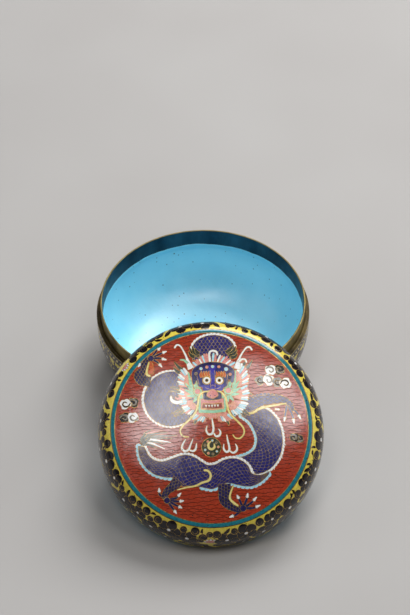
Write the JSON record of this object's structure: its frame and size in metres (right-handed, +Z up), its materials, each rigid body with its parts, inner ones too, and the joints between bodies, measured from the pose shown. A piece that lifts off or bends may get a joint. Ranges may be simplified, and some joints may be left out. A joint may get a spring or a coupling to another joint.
{
  "type": "cloisonne enamel box with its lid off",
  "caption": "Round enamelled copper box on a foot ring, open, with its domed lid leaning on the brass collar of its mouth.",
  "frame": {"origin": "middle of the footprint of box and leaning lid, on the surface that they stand on", "axes": "+Z up, +Y from the leaning lid towards the open box, +X to the right of someone who faces along +Y"},
  "size_m": [0.1182, 0.1918, 0.0719],
  "materials": {
    "box_enamel": "glossy sky-blue enamel inside, black blossoms on yellow cloisonne outside, on copper",
    "collar_brass": "aged brass, satin, dull brown in the hollows",
    "lid_enamel": "glossy cloisonne enamel, a blue dragon on brick red with a yellow flowered side, on copper",
    "band_brass": "aged brass edge, satin"
  },
  "bodies": {
    "root": {"box_bowl": "box_enamel", "box_collar": "collar_brass", "lid_shell": "lid_enamel", "lid_band": "band_brass"}
  },
  "joints": []
}
